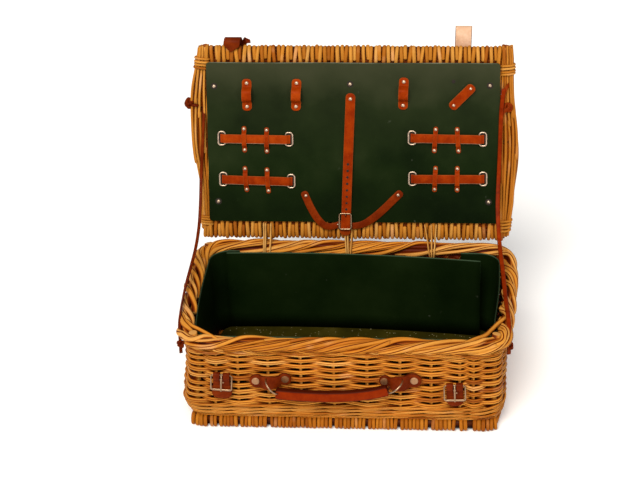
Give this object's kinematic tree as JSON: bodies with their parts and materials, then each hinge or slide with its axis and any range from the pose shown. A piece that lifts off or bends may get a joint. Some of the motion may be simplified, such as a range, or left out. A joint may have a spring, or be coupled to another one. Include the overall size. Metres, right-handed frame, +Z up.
{
  "type": "picnic basket",
  "caption": "Open rectangular wicker picnic hamper with a rolled border, green lining, lid board with leather cutlery fittings, plate strap, carrying handle and front strap buckles.",
  "frame": {"origin": "middle of the base's underside, on the ground", "axes": "+X to the right seen from the front, +Y to the back, +Z up; the front faces -Y"},
  "size_m": [0.554, 0.4778, 0.5291],
  "materials": {
    "wicker": "varnished willow, satin",
    "cane": "split cane, satin",
    "green": "leatherette on stiff board, semi-gloss",
    "felt": "matte felt",
    "tan": "tan hide, satin",
    "brown": "red-brown hide, polished",
    "metal": "worn nickel plate"
  },
  "bodies": {
    "base": {"base_bottom": "wicker", "base_wall": "wicker", "base_rim": "wicker", "liner_wrap": "green", "liner_back": "green", "liner_floor": "felt", "stay_left": "brown", "stay_right": "tan", "hinge_loop_1": "cane", "hinge_loop_2": "cane", "hinge_loop_3": "cane", "handle_tab_left": "brown", "handle_tab_right": "brown", "buckle_chape_left": "brown", "buckle_chape_right": "brown"},
    "lid": {"lid_wicker": "wicker", "lid_board": "green", "cutlery_loop_1": "tan", "cutlery_loop_2": "tan", "cutlery_loop_3": "tan", "cutlery_loop_4": "tan", "cross_strap_ul": "tan", "cross_strap_ll": "tan", "cross_strap_ur": "tan", "cross_strap_lr": "tan", "keeper_1": "tan", "keeper_2": "tan", "keeper_3": "tan", "keeper_4": "tan", "keeper_5": "tan", "keeper_6": "tan", "keeper_7": "tan", "keeper_8": "tan", "plate_strap": "tan", "plate_chape": "brown", "plate_tie_left": "brown", "plate_tie_right": "brown", "closing_strap_left": "brown", "closing_strap_right": "brown", "strap_eye_1": "metal", "strap_eye_2": "metal", "strap_eye_3": "metal", "strap_eye_4": "metal", "strap_eye_5": "metal", "strap_eye_6": "metal", "strap_eye_7": "metal", "strap_eye_8": "metal", "plate_buckle": "metal"},
    "handle": {"handle_grip": "brown", "handle_ring_left": "metal", "handle_ring_right": "metal"},
    "buckle_left": {"buckle_frame_left": "metal", "buckle_tongue_left": "metal"},
    "buckle_right": {"buckle_frame_right": "metal", "buckle_tongue_right": "metal"}
  },
  "joints": [
    {"name": "lid_hinge", "type": "hinge", "parent": "base", "child": "lid", "pos_m": [0, 0.166, 0.184], "axis": [1, 0, 0], "range_deg": [0, 104.8], "deforming": ["stay_left", "stay_right", "hinge_loop_1", "hinge_loop_2", "hinge_loop_3"]},
    {"name": "handle_swing", "type": "hinge", "parent": "base", "child": "handle", "pos_m": [0, -0.1743, 0.09945], "axis": [-1, 0, 0], "range_deg": [0, 90]},
    {"name": "buckle_left_swing", "type": "hinge", "parent": "base", "child": "buckle_left", "pos_m": [-0.197, -0.168, 0.108], "axis": [-0.9976, 0, 0.0698], "range_deg": [0, 90]},
    {"name": "buckle_right_swing", "type": "hinge", "parent": "base", "child": "buckle_right", "pos_m": [0.1778, -0.168, 0.0955], "axis": [-0.9997, 0, -0.0262], "range_deg": [0, 90]}
  ]
}
